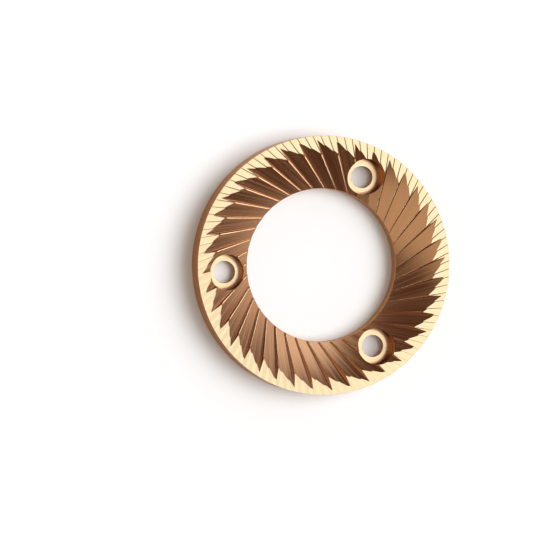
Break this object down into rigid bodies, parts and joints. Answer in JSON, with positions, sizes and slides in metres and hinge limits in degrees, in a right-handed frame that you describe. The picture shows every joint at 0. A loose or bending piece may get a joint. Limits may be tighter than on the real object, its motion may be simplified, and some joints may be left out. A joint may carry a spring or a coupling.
{
  "type": "flat coffee grinder burr",
  "caption": "Flat ring grinding burr with swept breaking grooves, a finely toothed outer band and counterbored screw holes.",
  "frame": {"origin": "centre of the back face, on the bore axis", "axes": "+Z out of the toothed face, +X and +Y in the plane of the back face"},
  "size_m": [0.064, 0.064, 0.0076],
  "materials": {
    "burr": "ground tool steel with a copper-coloured hard coating, satin with fine grinding lines along the grooves"
  },
  "bodies": {
    "root": {"burr": "burr"}
  },
  "joints": []
}
